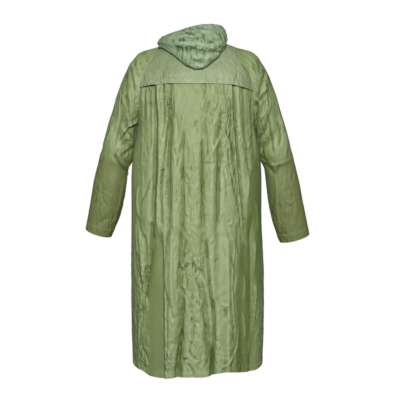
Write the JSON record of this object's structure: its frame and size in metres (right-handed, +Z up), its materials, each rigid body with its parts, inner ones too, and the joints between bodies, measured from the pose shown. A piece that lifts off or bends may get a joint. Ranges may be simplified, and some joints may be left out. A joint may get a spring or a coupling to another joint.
{
  "type": "hooded raincoat",
  "caption": "Long hooded raincoat in thin coated cloth, filled out as worn by no one: vented back cape, raglan sleeves, hood down, closed front.",
  "frame": {"origin": "between the shoulders, in the middle of the neck opening just under the neckline, where the wearer carries the coat", "axes": "+Z up, the coat faces -Y, +X is the wearer's left"},
  "size_m": [0.849, 0.3895, 1.2648],
  "materials": {
    "coated_cloth": "satin coated nylon, thin and creased",
    "sleeve_cloth": "satin coated nylon, thin and creased",
    "stud_paint": "satin enamel, matching green"
  },
  "bodies": {
    "root": {"back_panel": "coated_cloth", "back_yoke": "coated_cloth", "front_left": "coated_cloth", "front_right": "coated_cloth", "hood_left": "coated_cloth", "hood_left_band": "coated_cloth", "hood_right": "coated_cloth", "hood_right_band": "coated_cloth", "sleeve_left_back": "sleeve_cloth", "sleeve_left_front": "sleeve_cloth", "sleeve_right_back": "sleeve_cloth", "sleeve_right_front": "sleeve_cloth", "stud_1": "stud_paint", "stud_2": "stud_paint", "stud_3": "stud_paint", "stud_4": "stud_paint", "stud_5": "stud_paint", "stud_6": "stud_paint"}
  },
  "joints": []
}
